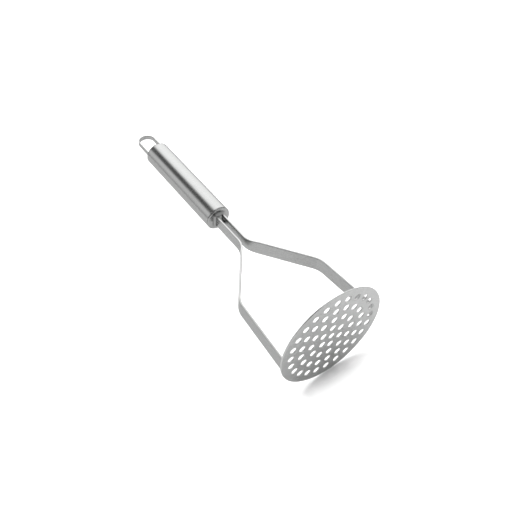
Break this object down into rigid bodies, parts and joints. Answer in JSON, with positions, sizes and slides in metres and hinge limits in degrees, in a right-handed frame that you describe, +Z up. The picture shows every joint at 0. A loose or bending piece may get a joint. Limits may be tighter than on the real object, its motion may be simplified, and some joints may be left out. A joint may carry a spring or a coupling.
{
  "type": "potato masher",
  "caption": "Stainless steel potato masher: perforated round disc on a two-armed strap fork, with a hollow round handle and a hanging loop.",
  "frame": {"origin": "centre of the disc's underside, which is the face that the masher stands on", "axes": "+Z up the handle, away from the disc; +X along the fork, towards the right arm; +Y along the broad side of the arms"},
  "size_m": [0.09, 0.09, 0.271],
  "materials": {
    "disc_steel": "fine satin sheet, deburred at the rim",
    "strap_steel": "satin strip, grain along its length",
    "weld_steel": "bare weld metal, slightly dull",
    "cap_steel": "turned satin face",
    "handle_steel": "fine brushed tube",
    "loop_steel": "satin strip"
  },
  "bodies": {
    "root": {"masher_disc": "disc_steel", "left_arm": "strap_steel", "right_arm": "strap_steel", "foot_welds": "weld_steel", "front_cap": "cap_steel", "tang_welds": "weld_steel", "handle_tube": "handle_steel", "rear_cap": "cap_steel", "loop_welds": "weld_steel", "hanging_loop": "loop_steel"}
  },
  "joints": []
}
